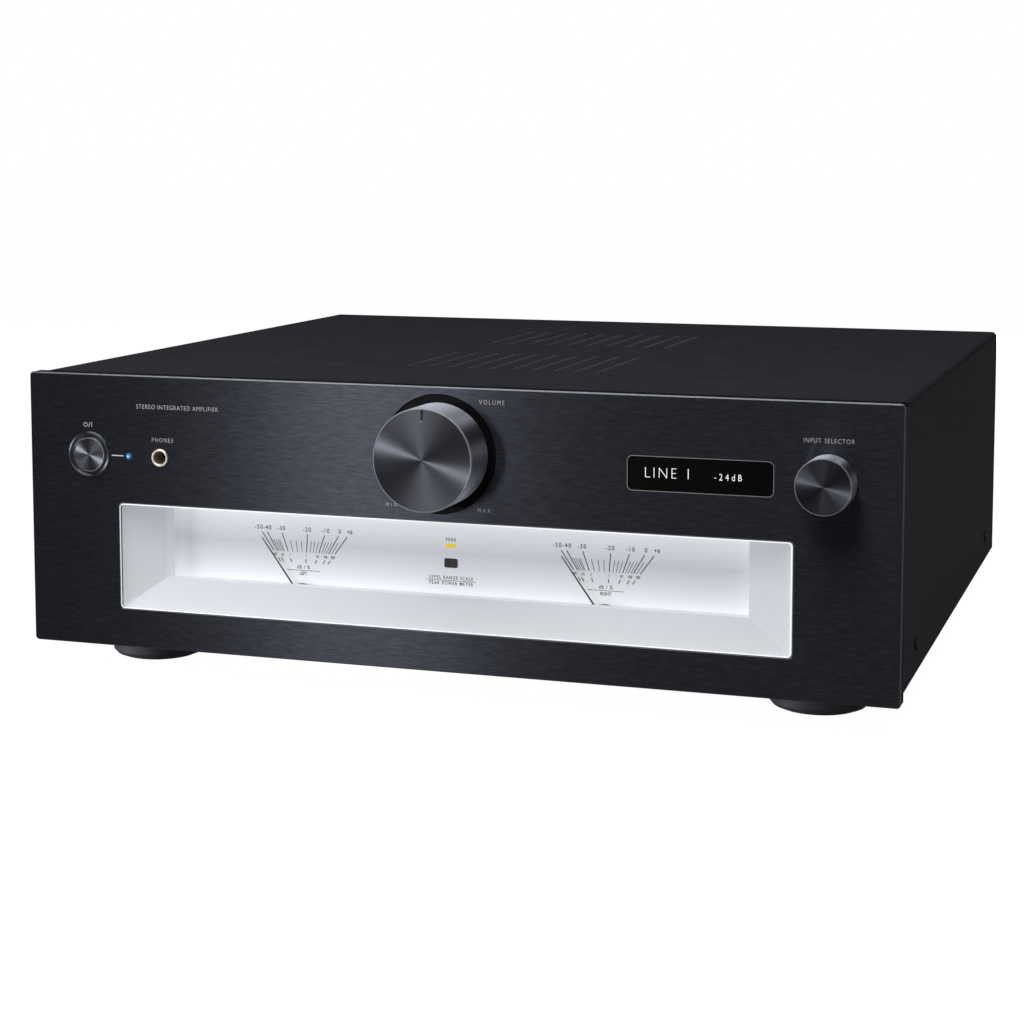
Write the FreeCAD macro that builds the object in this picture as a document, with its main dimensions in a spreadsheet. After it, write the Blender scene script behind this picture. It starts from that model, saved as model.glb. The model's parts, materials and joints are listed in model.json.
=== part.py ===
import FreeCAD, Part
import math
import os
import re

import Sketcher
from FreeCAD import Placement, Rotation, Vector

# Integrated amplifier, built in the frame of its front panel and then placed.
#
# Panel frame: X runs along the panel from its centre, Y is the depth behind the panel's front
# face, Z is the height above the panel's bottom edge. The finished model stands on Z = 0 with
# its origin under the middle of its bounding box.

DIMS = {
    # Overall
    "overall_width": 430,
    "panel_height": 134.5,
    "foot_drop": 13.5,
    "case_depth": 384,
    "knob_reach": 22,
    "terminal_reach": 22,
    # Front panel
    "panel_thickness": 8,
    "panel_corner": 2,
    "edge_bevel": 0.6,
    # Sheet metal
    "cover_width": 428,
    "cover_top": 134,
    "cover_bottom": 3.6,
    "cover_bend": 3,
    "cover_wall": 1.2,
    "cover_screw_height": 18,
    "fit_gap": 0.3,
    # Vent slots
    "vent_count": 10,
    "vent_pitch": 11.2,
    "vent_width": 4,
    "vent_length": 84,
    "vent_start": 87,
    "vent_row_pitch": 133,
    # Meter window
    "window_width": 332.75,
    "window_bottom": 19.25,
    "window_top": 71.1,
    "window_corner": 1.5,
    "pane_depth": 0.5,
    "pane_thickness": 1,
    "bezel_inner_width": 290.6,
    "sill_height": 34.3,
    "bevel_depth": 8.1,
    "sill_depth": 13.2,
    "dial_depth": 16.4,
    "dial_thickness": 1.2,
    # Needles
    "dial_spacing": 152.2,
    "pivot_height": 26.5,
    "needle_length": 36,
    "needle_depth": 14.6,
    "needle_rest_angle": 35.8,
    "hub_radius": 7.8,
    "staff_radius": 1,
    "movement_radius": 17,
    # Volume knob
    "volume_height": 103,
    "volume_radius": 24.1,
    "volume_recess_radius": 28.2,
    "volume_recess_depth": 1.5,
    # Selector knob
    "selector_across": 182,
    "selector_height": 98.6,
    "selector_radius": 12.65,
    "selector_reach": 14,
    "shaft_radius": 3,
    "shaft_clearance": 0.06,
    # Power button, lamp and headphone socket
    "power_across": -182.5,
    "controls_height": 94.6,
    "power_ring_radius": 11.3,
    "power_button_radius": 8.4,
    "power_travel": 1.5,
    "lamp_across": -161,
    "lamp_radius": 1.6,
    "phones_across": -144,
    "phones_ring_radius": 4.4,
    "phones_bore": 3.2,
    # Display window
    "display_left": 90.8,
    "display_right": 157.4,
    "display_bottom": 91.1,
    "display_top": 106.5,
    # Feet
    "foot_across": 170.6,
    "foot_inset": 48,
    "foot_radius": 23.5,
    "foot_pad_radius": 19,
    # Boards
    "board_thickness": 1.6,
    "front_board_depth": 24,
    "board_height": 12,
    # Speaker terminals
    "stud_radius": 3.5,
    "banana_radius": 2.1,
    "cap_radius": 7,
    "terminal_height": 40,
    # Line and digital sockets
    "socket_board_depth": 366,
    "jack_radius": 4.15,
    "jack_reach": 9.7,
    "jack_bore": 1.65,
    "socket_proud": 1.5,
    "socket_bottom": 82.5,
    "socket_top": 95.5,
}

SPEAKER_POSTS = {
    "right_negative": -112,
    "right_positive": -88,
    "left_negative": -52,
    "left_positive": -28,
}
FEET = {
    "front_left": ("-foot_across", "foot_inset"),
    "front_right": ("foot_across", "foot_inset"),
    "rear_left": ("-foot_across", "case_depth - foot_inset"),
    "rear_right": ("foot_across", "case_depth - foot_inset"),
}
COVER_SCREW_DEPTHS = (52, 340)
JACK_COLUMNS = (60, 78, 96, 114)
JACK_ROWS = (70, 90)
# Openings in the rear panel: left, bottom, right and top edge of each.
REAR_OPENINGS = {
    "speakers": (-122, 28, -18, 52),
    "mains": (-195.2, 28, -164.8, 52),
    "line": (53, 63, 121, 97),
    "digital": (130, 81, 188.5, 97),
}
FRONT = "(knob_reach - terminal_reach - case_depth) / 2"
BACK = "(knob_reach - terminal_reach + case_depth) / 2"
PANEL_FRAME = (0, FRONT, "foot_drop")
CHASSIS_HALF = "(cover_width / 2 - cover_wall - fit_gap)"
FLOOR_TOP = "(cover_bottom + cover_wall)"
CHASSIS_TOP = "(cover_top - cover_wall - fit_gap - 1)"
REAR_INSIDE = "(case_depth - cover_wall - 0.1)"

DOC = FreeCAD.newDocument("integrated_amplifier")
SHEET = DOC.addObject("Spreadsheet::Sheet", "Dims")
NODES = []


def fill_sheet():
    """Write every driving dimension into the spreadsheet, one row each."""
    for row, (word, number) in enumerate(DIMS.items(), 1):
        SHEET.set(f"A{row}", word)
        SHEET.set(f"B{row}", str(number))
        SHEET.setAlias(f"B{row}", word)
    DOC.recompute()


def bound(text):
    """Write an expression on the sheet's words as FreeCAD reads it."""
    def link(word):
        return f"Dims.{word[0]}" if word[0] in DIMS else word[0]

    return re.sub(r"[a-z][a-z_]*", link, str(text))


def value(text):
    """Work out an expression on the sheet's words."""
    return float(SHEET.evalExpression(bound(text)))


def place(piece, at=PANEL_FRAME, turn=None):
    """Put a piece at a point given by expressions, turned if asked."""
    piece.Placement = Placement(Vector(), turn or Rotation())
    for letter, text in zip("xyz", at):
        piece.setExpression(f"Placement.Base.{letter}", bound(text))
    return piece


def node(piece, label, at=PANEL_FRAME):
    """Name a finished sub-part, place it and list it for export."""
    piece.Label = label
    place(piece, at)
    NODES.append(piece)
    return piece


# ---------------------------------------------------------------- sketches and features


class Outline:
    """A fully dimensioned sketch on one of a body's origin planes."""

    def __init__(self, body, plane, offset=0):
        self.sketch = body.newObject("Sketcher::SketchObject", "Outline")
        support = next(item for item in body.Origin.OriginFeatures if item.Role == plane)
        self.sketch.AttachmentSupport = (support, "")
        self.sketch.MapMode = "FlatFace"
        self.sketch.setExpression("AttachmentOffset.Base.z", bound(offset))

    def rule(self, kind, *places):
        """Add one constraint and return its number."""
        return self.sketch.addConstraint(Sketcher.Constraint(kind, *places))

    def measure(self, kind, axis, geometry, point, text):
        """Hold a point at a distance from the sketch's origin, or on the axis if that is 0."""
        if value(text) == 0:
            self.rule("PointOnObject", geometry, point, axis)
            return
        number = self.rule(kind, -1, 1, geometry, point, value(text))
        self.sketch.setExpression(f"Constraints[{number}]", bound(text))

    def pin(self, geometry, point, across, up):
        """Dimension one point from the sketch's origin."""
        self.measure("DistanceX", -2, geometry, point, across)
        self.measure("DistanceY", -1, geometry, point, up)

    def size(self, geometry, radius):
        """Dimension one circle or arc."""
        number = self.rule("Radius", geometry, value(radius))
        self.sketch.setExpression(f"Constraints[{number}]", bound(radius))

    def polygon(self, points):
        """Close a loop of straight lines through the points."""
        corners = [Vector(value(across), value(up), 0) for across, up in points]
        first = self.sketch.GeometryCount
        for start, end in zip(corners, corners[1:] + corners[:1]):
            self.sketch.addGeometry(Part.LineSegment(start, end))
        for number, (across, up) in enumerate(points):
            following = first + (number + 1) % len(points)
            self.rule("Coincident", first + number, 2, following, 1)
            self.pin(first + number, 1, across, up)
        return self

    def rectangle(self, left, bottom, right, top):
        """Draw a rectangle between its sides."""
        return self.polygon([(left, bottom), (right, bottom), (right, top), (left, top)])

    def rounded(self, left, bottom, right, top, radius):
        """Draw a rectangle with tangent corner arcs."""
        x0, z0, x1, z1, r = (value(text) for text in (left, bottom, right, top, radius))
        sides = [
            ((x0 + r, z0), (x1 - r, z0)),
            ((x1, z0 + r), (x1, z1 - r)),
            ((x1 - r, z1), (x0 + r, z1)),
            ((x0, z1 - r), (x0, z0 + r)),
        ]
        centres = [(x1 - r, z0 + r), (x1 - r, z1 - r), (x0 + r, z1 - r), (x0 + r, z0 + r)]
        first = self.sketch.GeometryCount
        for quarter, ((start, end), centre) in enumerate(zip(sides, centres)):
            self.sketch.addGeometry(Part.LineSegment(Vector(*start, 0), Vector(*end, 0)))
            ring = Part.Circle(Vector(*centre, 0), Vector(0, 0, 1), r)
            begin = math.radians(90 * (quarter - 1))
            self.sketch.addGeometry(Part.ArcOfCircle(ring, begin, begin + math.pi / 2))
        for quarter in range(4):
            side = first + 2 * quarter
            following = first + 2 * ((quarter + 1) % 4)
            self.rule("Tangent", side, 2, side + 1, 1)
            self.rule("Tangent", side + 1, 2, following, 1)
            self.rule("Vertical" if quarter % 2 else "Horizontal", side)
            if quarter:
                self.rule("Equal", first + 1, side + 1)
        self.size(first + 1, radius)
        self.measure("DistanceY", -1, first, 1, bottom)
        self.measure("DistanceX", -2, first + 2, 1, right)
        self.measure("DistanceY", -1, first + 4, 1, top)
        self.measure("DistanceX", -2, first + 6, 1, left)
        return self

    def circle(self, across, up, radius):
        """Draw a circle about a dimensioned centre."""
        centre = Vector(value(across), value(up), 0)
        number = self.sketch.addGeometry(Part.Circle(centre, Vector(0, 0, 1), value(radius)))
        self.pin(number, 3, across, up)
        self.size(number, radius)
        return self


def new_body(label):
    """Start a PartDesign body."""
    return DOC.addObject("PartDesign::Body", label)


def front_outline(body, depth):
    """Start a sketch parallel to the front panel at a depth behind its face."""
    return Outline(body, "XZ_Plane", f"-({depth})")


def extrude(body, kind, outline, length, backwards):
    """Add a pad or a pocket of a given length."""
    feature = body.newObject(f"PartDesign::{kind}", kind)
    feature.Profile = outline.sketch
    feature.setExpression("Length", bound(length))
    feature.Reversed = backwards
    return feature


def pad(body, outline, near, far):
    """Pad a front outline from one depth to another."""
    return extrude(body, "Pad", outline, f"({far}) - ({near})", True)


def pocket(body, outline, near, far):
    """Cut a front outline from one depth to another."""
    return extrude(body, "Pocket", outline, f"({far}) - ({near})", False)


def raise_pad(body, outline, low, high):
    """Pad a floor outline from one height to another."""
    return extrude(body, "Pad", outline, f"({high}) - ({low})", False)


def sink_pocket(body, outline, low, high):
    """Cut a floor outline, drawn at its high level, down to the low one."""
    return extrude(body, "Pocket", outline, f"({high}) - ({low})", False)


def edges_where(shape, test):
    """Name the edges of a shape that pass a test."""
    return [f"Edge{number}" for number, edge in enumerate(shape.Edges, 1) if test(edge)]


def dress(body, kind, base, names, amount):
    """Fillet or chamfer named edges of the last feature."""
    feature = body.newObject(f"PartDesign::{kind}", kind)
    feature.Base = (base, names)
    feature.setExpression("Radius" if kind == "Fillet" else "Size", bound(amount))
    return feature


def lies_at_depth(depth):
    """Make a test for edges that lie in the plane at one depth."""
    level = value(depth)
    return lambda edge: max(abs(edge.BoundBox.YMin - level), abs(edge.BoundBox.YMax - level)) < 1e-4


def revolved(label, profile, upright=False):
    """Body turned from a profile of (along, radius) points about Y, or of (radius, height) about Z."""
    body = new_body(label)
    outline = Outline(body, "XZ_Plane" if upright else "YZ_Plane").polygon(profile)
    feature = body.newObject("PartDesign::Revolution", "Revolution")
    feature.Profile = outline.sketch
    feature.ReferenceAxis = (outline.sketch, ["V_Axis" if upright else "H_Axis"])
    feature.Angle = 360
    return body


def turned(label, profile, at=PANEL_FRAME, upright=False):
    """A turned sub-part at its place."""
    return node(revolved(label, profile, upright), label, at)


# ---------------------------------------------------------------- primitives


def block(low, high):
    """A box between two corners given by expressions."""
    box = DOC.addObject("Part::Box", "Block")
    for side, start, end in zip(("Length", "Width", "Height"), low, high):
        box.setExpression(side, bound(f"({end}) - ({start})"))
    return place(box, low)


def bar(radius, at, length, axis="Y"):
    """A cylinder that starts at a point and runs along an axis."""
    cylinder = DOC.addObject("Part::Cylinder", "Bar")
    cylinder.setExpression("Radius", bound(radius))
    cylinder.setExpression("Height", bound(length))
    turn = {"X": Rotation(Vector(0, 1, 0), 90), "Y": Rotation(Vector(1, 0, 0), -90), "Z": Rotation()}
    return place(cylinder, at, turn[axis])


def joined(pieces):
    """Fuse primitives into one solid."""
    fusion = DOC.addObject("Part::MultiFuse", "Fusion")
    fusion.Shapes = pieces
    return fusion


def carved(base, tools):
    """Cut tools out of a base."""
    cut = DOC.addObject("Part::Cut", "Cut")
    cut.Base = base
    cut.Tool = joined(tools) if len(tools) > 1 else tools[0]
    return cut


def group(pieces):
    """Keep one or more primitives, each where it was put, together as one sub-part."""
    compound = DOC.addObject("Part::Compound", "Group")
    compound.Links = pieces
    return compound


# ---------------------------------------------------------------- front panel and its trim


def front_panel():
    """Thick plate with bright-cut edges, the meter window and the holes for the controls."""
    body = new_body("front_panel")
    outline = front_outline(body, 0)
    outline.rounded("-overall_width / 2", 0, "overall_width / 2", "panel_height", "panel_corner")
    pad(body, outline, 0, "panel_thickness")
    window = front_outline(body, 0)
    window.rounded("-window_width / 2", "window_bottom", "window_width / 2", "window_top", "window_corner")
    window.rounded("display_left", "display_bottom", "display_right", "display_top", "panel_corner")
    window.circle("power_across", "controls_height", "power_ring_radius + 0.05")
    window.circle("lamp_across", "controls_height", "lamp_radius + 0.05")
    window.circle("phones_across", "controls_height", "phones_ring_radius + 0.05")
    window.circle("selector_across", "selector_height", "shaft_radius + 2")
    window.circle(0, "volume_height", "shaft_radius + 2")
    pocket(body, window, 0, "panel_thickness")
    recess = front_outline(body, 0).circle(0, "volume_height", "volume_recess_radius")
    last = pocket(body, recess, 0, "volume_recess_depth")
    DOC.recompute()
    rim = [value("overall_width / 2"), value("window_width / 2")]
    front = lies_at_depth(0)

    def on_rim(edge):
        box = edge.BoundBox
        wide = max(abs(box.XMin), abs(box.XMax))
        return front(edge) and (abs(wide - rim[0]) < 2.1 or abs(wide - rim[1]) < 1.6)

    bevel = dress(body, "Chamfer", last, edges_where(last.Shape, on_rim), "edge_bevel")
    DOC.recompute()
    left, right = value("display_left"), value("display_right")

    def on_display(edge):
        box = edge.BoundBox
        return front(edge) and box.XMin > left - 0.1 and box.XMax < right + 0.1

    dress(body, "Chamfer", bevel, edges_where(bevel.Shape, on_display), "edge_bevel / 2")
    return node(body, "front_panel")


def volume_recess_ring():
    """Dark ring in the bottom of the recess behind the volume knob."""
    floor = "volume_recess_depth"
    profile = [
        (f"{floor} - 1", "shaft_radius + 3"),
        (f"{floor} - 1", "volume_recess_radius - 0.1"),
        (floor, "volume_recess_radius - 0.1"),
        (floor, "shaft_radius + 3"),
    ]
    turned("volume_recess_ring", profile, (0, FRONT, "foot_drop + volume_height"))


def display_window():
    """Dark glossy window of the display, set flush in the panel."""
    body = new_body("display_window")
    outline = front_outline(body, 0.15)
    gap = 0.1
    outline.rounded(
        f"display_left + {gap}", f"display_bottom + {gap}",
        f"display_right - {gap}", f"display_top - {gap}", f"panel_corner - {gap}",
    )
    pad(body, outline, 0.15, 2.2)
    node(body, "display_window")


def display_module():
    """Display glass on its own small board behind the window."""
    glass = block(
        ("display_left + 1", 9.6, "display_bottom + 1"), ("display_right - 1", 11.6, "display_top - 1"),
    )
    board = block(
        ("display_left - 3", 11.6, "display_bottom - 3"), ("display_right + 3", 13.2, "display_top + 3"),
    )
    node(joined([glass, board]), "display_module")


def power_controls():
    """Turned ring, sprung button and switch of the power control, and the lamp beside it."""
    at = ("power_across", FRONT, "foot_drop + controls_height")
    ring = "power_ring_radius"
    bore = "(power_button_radius + 0.45)"
    turned("power_button_ring", [
        (-0.2, ring), (-0.7, f"{ring} - 0.5"), (-0.7, f"{ring} - 0.9"), (0.7, bore), (7.9, bore),
        (7.9, ring),
    ], at)
    button = "power_button_radius"
    turned("power_button", [
        (-0.7, 0), (-0.7, f"{button} - 0.6"), (-0.1, button), (5.5, button), (5.5, f"{button} - 1.5"),
        (1.5, f"{button} - 1.5"), (1.5, 2), (13, 2), (13, 0),
    ], at)
    low = ("power_across - 6.5", 11, "controls_height - 6.5")
    high = ("power_across + 6.5", "front_board_depth", "controls_height + 6.5")
    well = bar("2 + shaft_clearance", ("power_across", 10, "controls_height"), "3.5 + power_travel")
    node(carved(block(low, high), [well]), "power_switch")
    lamp = "lamp_radius"
    turned("power_lamp", [
        (-0.4, 0), (-0.4, f"{lamp} - 0.7"), (0, lamp), (7.9, lamp), (7.9, 0),
    ], ("lamp_across", FRONT, "foot_drop + controls_height"))


def headphone_socket():
    """Headphone jack housing and the bright ring around its mouth."""
    at = ("phones_across", FRONT, "foot_drop + controls_height")
    ring = "phones_ring_radius"
    turned("phones_ring", [
        (-0.8, "phones_bore + 0.3"), (-0.8, f"{ring} - 0.4"), (-0.4, ring), (9.2, ring),
        (9.2, "phones_bore"), (-0.5, "phones_bore"),
    ], at)
    low = ("phones_across - 8", 9.2, "controls_height - 9")
    high = ("phones_across + 8", 36, "controls_height + 9")
    bore = bar("phones_bore", ("phones_across", 9, "controls_height"), 24)
    node(carved(block(low, high), [bore]), "headphone_jack")


# ---------------------------------------------------------------- knobs


def knob_body(label, radius, reach, back, skirt):
    """Hollow turned knob with a boss for its shaft; depths run back from the front face."""
    return revolved(label, [
        (f"-{reach}", 0),
        (f"-{reach}", f"{radius} - edge_bevel"),
        (f"-{reach} + edge_bevel", radius),
        (back, radius),
        (back, f"{radius} - {skirt}"),
        (f"-{reach} + 5", f"{radius} - {skirt}"),
        (f"-{reach} + 5", "shaft_radius + 3"),
        (f"{back} - 1.5", "shaft_radius + 3"),
        (f"{back} - 1.5", "shaft_radius"),
        (f"-{reach} + 4", "shaft_radius"),
        (f"-{reach} + 4", 0),
    ])


def shaft(label, reach, at):
    """Shaft from inside its knob to inside its encoder."""
    start = f"-{reach} + 4.2"
    profile = [(start, 0), (start, "shaft_radius"), (22, "shaft_radius"), (22, 0)]
    turned(label, profile, at)


def encoder(label, across, height):
    """Rotary encoder: a square case behind the chassis with a bush that guides the shaft."""
    low = (f"{across} - 12", 9.8, f"{height} - 12")
    high = (f"{across} + 12", "front_board_depth", f"{height} + 12")
    case = block(low, high)
    bush = bar("shaft_radius + 1.8", (across, 2, height), 8)
    bore = bar("shaft_radius + shaft_clearance", (across, 1, height), 21.4)
    node(carved(joined([case, bush]), [bore]), label)


def volume_control():
    """Volume knob with its index slot, its shaft and its encoder."""
    at = (0, FRONT, "foot_drop + volume_height")
    body = knob_body("volume_knob", "volume_radius", "knob_reach", 0.1, 3)
    slot = front_outline(body, "-knob_reach")
    slot.rounded(-0.55, "volume_radius - 6.8", 0.55, "volume_radius + 1", 0.5)
    pocket(body, slot, 0, 1.4)
    node(body, "volume_knob", at)
    shaft("volume_shaft", "knob_reach", at)
    encoder("volume_encoder", 0, "volume_height")


def selector_control():
    """Input selector knob, its shaft and its encoder."""
    at = ("selector_across", FRONT, "foot_drop + selector_height")
    body = knob_body("selector_knob", "selector_radius", "selector_reach", -0.5, 2.5)
    node(body, "selector_knob", at)
    shaft("selector_shaft", "selector_reach", at)
    encoder("selector_encoder", "selector_across", "selector_height")


# ---------------------------------------------------------------- meters


def meter_bezel():
    """White frame whose bevels narrow from the window to the dials, with a sill in front of them."""
    side = "(window_width / 2 - 0.25)"
    bottom = "(window_bottom + 0.25)"
    top = "(window_top - 0.25)"
    front = "(pane_depth + pane_thickness)"
    inner = "bezel_inner_width / 2"
    lip = 0.3
    plug = new_body("BezelPlug")
    outline = front_outline(plug, front).rounded(f"-{side}", bottom, side, top, "window_corner")
    pad(plug, outline, front, "panel_thickness")
    low = (f"-{side} - 5.5", "panel_thickness", f"{bottom} - 5.5")
    high = (f"{side} + 5.5", "dial_depth", f"{top} + 5.5")
    flange = block(low, high)
    bevel = DOC.addObject("Part::Wedge", "Bevel")
    limits = {
        "Xmin": f"-{side} + {lip}", "Xmax": f"{side} - {lip}",
        "Zmin": f"{bottom} + {lip}", "Zmax": f"{top} - {lip}",
        "X2min": f"-{inner}", "X2max": inner,
        "Z2min": "sill_height", "Z2max": f"{top} - {lip}",
        "Ymin": front, "Ymax": "bevel_depth",
    }
    for name, text in limits.items():
        bevel.setExpression(name, bound(text))
    throat = block((f"-{inner}", "bevel_depth", "sill_height"), (inner, "dial_depth", f"{top} - {lip}"))
    well = block((f"-{inner}", "sill_depth", f"{bottom} - 2.5"), (inner, "dial_depth", "sill_height"))
    node(carved(joined([plug, flange]), [bevel, throat, well]), "meter_bezel")


def meter_window():
    """Clear pane in the front of the window."""
    body = new_body("meter_window")
    outline = front_outline(body, "pane_depth")
    gap = 0.25
    outline.rounded(
        f"-window_width / 2 + {gap}", f"window_bottom + {gap}",
        f"window_width / 2 - {gap}", f"window_top - {gap}", "window_corner",
    )
    pad(body, outline, "pane_depth", "pane_depth + pane_thickness")
    node(body, "meter_window")


def dial_plate():
    """Lit plate behind the needles, with a hole for each meter's staff and for the centre lamps."""
    body = new_body("dial_plate")
    outline = front_outline(body, "dial_depth")
    half = "(window_width / 2 + 4)"
    outline.rectangle(f"-{half}", "window_bottom - 4", half, "window_top + 4")
    pad(body, outline, "dial_depth", "dial_depth + dial_thickness")
    holes = front_outline(body, "dial_depth")
    for side in (-1, 1):
        holes.circle(f"{side} * dial_spacing / 2", "pivot_height", "staff_radius + 1.5")
    holes.rectangle(-2.6, 56.1, 2.6, 58.1)
    holes.rounded(-3.4, 46.4, 3.4, 51, 0.9)
    pocket(body, holes, "dial_depth", "dial_depth + dial_thickness")
    node(body, "dial_plate")


def centre_lamps():
    """Yellow indicator bar, dark remote sensor window and the lamp strip that lights the dials."""
    face = "dial_depth - 0.15"
    rear = "dial_depth + dial_thickness"
    node(group([block((-2.5, face, 56.2), (2.5, rear, 58))]), "peak_indicator")
    body = new_body("remote_sensor_window")
    outline = front_outline(body, face).rounded(-3.3, 46.5, 3.3, 50.9, 0.8)
    pad(body, outline, face, rear)
    node(body, "remote_sensor_window")
    top = "(window_top + 5.25)"
    half = "bezel_inner_width / 2"
    node(group([block((f"-{half}", 9.6, top), (half, "dial_depth", f"{top} + 1.2"))]), "meter_lamp_strip")


def needle(side_name, side):
    """Thin needle on a round hub that turns on the staff."""
    across = f"{side} * dial_spacing / 2"
    body = new_body(f"{side_name}_needle")
    hub = front_outline(body, 0).circle(0, 0, "hub_radius").circle(0, 0, "staff_radius")
    pad(body, hub, 0, 0.9)
    blade = front_outline(body, 0.2)
    root = "(hub_radius - 1)"
    lean = "sin(needle_rest_angle)"
    rise = "cos(needle_rest_angle)"
    corners = []
    for reach, half in ((root, 0.4), ("needle_length", 0.22), ("needle_length", -0.22), (root, -0.4)):
        corners.append((f"-{reach} * {lean} + {half} * {rise}", f"{reach} * {rise} + {half} * {lean}"))
    blade.polygon(corners)
    pad(body, blade, 0.2, 0.6)
    node(body, f"{side_name}_needle", (across, f"{FRONT} + needle_depth", "foot_drop + pivot_height"))


def meter_coil(side_name, side):
    """Staff and moving coil of one meter."""
    former = "(movement_radius - 5.5)"
    turned(f"{side_name}_meter_coil", [
        (0, 0), (0, "staff_radius"), (6.5, "staff_radius"), (6.5, former), (18, former),
        (18, f"{former} - 1.5"), (9, f"{former} - 1.5"), (9, "staff_radius"), (24.2, "staff_radius"),
        (24.2, 0),
    ], (f"{side} * dial_spacing / 2", f"{FRONT} + needle_depth - 0.2", "foot_drop + pivot_height"))


def meter_movement(side_name, side):
    """Fixed magnet and frame of one meter, with a bearing at each end for the staff."""
    bearing = "(staff_radius + 0.05)"
    rim = "movement_radius"
    inner = f"({rim} - 5)"
    front = f"{FRONT} + dial_depth + dial_thickness + 0.2"
    turned(f"{side_name}_meter_movement", [
        (0, bearing), (0, rim), (21, rim), (21, bearing), (19.2, bearing),
        (19.2, inner), (2, inner), (2, bearing),
    ], (f"{side} * dial_spacing / 2", front, "foot_drop + pivot_height"))


def meters():
    """Everything in the meter window."""
    meter_bezel()
    meter_window()
    dial_plate()
    centre_lamps()
    for side_name, side in (("left", -1), ("right", 1)):
        needle(side_name, side)
        meter_coil(side_name, side)
        meter_movement(side_name, side)


# ---------------------------------------------------------------- case


def bottom_chassis():
    """Folded steel tray: floor, front wall with the control openings, side flanges, board posts."""
    front = "panel_thickness"
    inside = "(panel_thickness + cover_wall)"
    rear = "(case_depth - cover_wall - 0.1)"
    floor = block((f"-{CHASSIS_HALF}", front, "cover_bottom"), (CHASSIS_HALF, rear, FLOOR_TOP))
    wall = block((f"-{CHASSIS_HALF}", front, FLOOR_TOP), (CHASSIS_HALF, inside, CHASSIS_TOP))
    solids = [floor, wall]
    for side in (-1, 1):
        edges = sorted((f"{side} * {CHASSIS_HALF}", f"{side} * ({CHASSIS_HALF} - cover_wall)"), key=value)
        solids.append(block((edges[0], inside, FLOOR_TOP), (edges[1], rear, f"{FLOOR_TOP} + 16")))
    for across in (-196, -84, 8, 196):
        for depth in (72, 222):
            solids.append(bar(3, (across, depth, FLOOR_TOP), f"board_height - {FLOOR_TOP}", "Z"))
    near, far = "panel_thickness - 1", "cover_wall + 2"
    height = "controls_height"
    opening = "(window_width / 2 + 5.5)"
    behind = f"{near} + {far}"
    openings = [
        block((f"-{opening}", near, "window_bottom - 5.5"), (opening, behind, "window_top + 5.5")),
        block(
            ("display_left - 0.8", near, "display_bottom - 0.8"),
            ("display_right + 0.8", behind, "display_top + 0.8"),
        ),
        bar("power_button_radius + 1", ("power_across", near, height), far),
        bar("lamp_radius + 1", ("lamp_across", near, height), far),
        bar("phones_ring_radius + 0.3", ("phones_across", near, height), far),
        bar("shaft_radius + 2", (0, near, "volume_height"), far),
        bar("shaft_radius + 2", ("selector_across", near, "selector_height"), far),
    ]
    for across, depth in FEET.values():
        openings.append(bar(2.1, (across, depth, 0), 10, "Z"))
    for depth in COVER_SCREW_DEPTHS:
        openings.append(bar(1.6, ("-overall_width / 2", depth, "cover_screw_height"), "overall_width", "X"))
    node(carved(joined(solids), openings), "bottom_chassis")


def top_cover():
    """Folded steel cover over the top and both sides, with two groups of slots in its top."""
    body = new_body("top_cover")
    near = "(panel_thickness + 0.2)"
    outline = front_outline(body, near)
    outline.rectangle("-cover_width / 2", "cover_bottom", "cover_width / 2", "cover_top")
    shell = pad(body, outline, near, "case_depth")
    DOC.recompute()
    top = value("cover_top")

    def on_top_side(edge):
        return edge.BoundBox.ZMin > top - 0.1 and edge.BoundBox.YLength > 10

    bends = edges_where(shell.Shape, on_top_side)
    dress(body, "Fillet", shell, bends, "cover_bend")
    hollow = front_outline(body, near)
    inside = "(cover_width / 2 - cover_wall)"
    hollow.rounded(f"-{inside}", "-20", inside, "cover_top - cover_wall", "cover_bend - cover_wall")
    pocket(body, hollow, near, "case_depth")
    slot = Outline(body, "XY_Plane", "cover_top")
    first = "(-(vent_count - 1) * vent_pitch / 2)"
    slot.rounded(
        f"{first} - vent_width / 2", "vent_start", f"{first} + vent_width / 2", "vent_start + vent_length",
        "vent_width / 2 - 0.2",
    )
    cut = sink_pocket(body, slot, "cover_top - 5", "cover_top")
    rows = body.newObject("PartDesign::LinearPattern", "VentRows")
    rows.Originals = [cut]
    rows.Direction = (slot.sketch, ["H_Axis"])
    rows.setExpression("Length", bound("(vent_count - 1) * vent_pitch"))
    rows.setExpression("Occurrences", bound("vent_count"))
    rows.Direction2 = (slot.sketch, ["V_Axis"])
    rows.setExpression("Length2", bound("vent_row_pitch"))
    rows.Occurrences2 = 2
    body.Tip = rows
    side = Outline(body, "YZ_Plane", "overall_width / 2")
    for depth in COVER_SCREW_DEPTHS:
        side.circle(depth, "cover_screw_height", 1.6)
    extrude(body, "Pocket", side, "overall_width", False)
    node(body, "top_cover")


def rear_panel():
    """Steel rear plate with the openings for the connectors."""
    body = new_body("rear_panel")
    front = "(case_depth - cover_wall)"
    outline = front_outline(body, front)
    outline.rectangle(f"-{CHASSIS_HALF}", "cover_bottom", CHASSIS_HALF, CHASSIS_TOP)
    pad(body, outline, front, "case_depth")
    holes = front_outline(body, front)
    for edges in REAR_OPENINGS.values():
        holes.rectangle(*edges)
    pocket(body, holes, front, "case_depth")
    node(body, "rear_panel")


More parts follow.
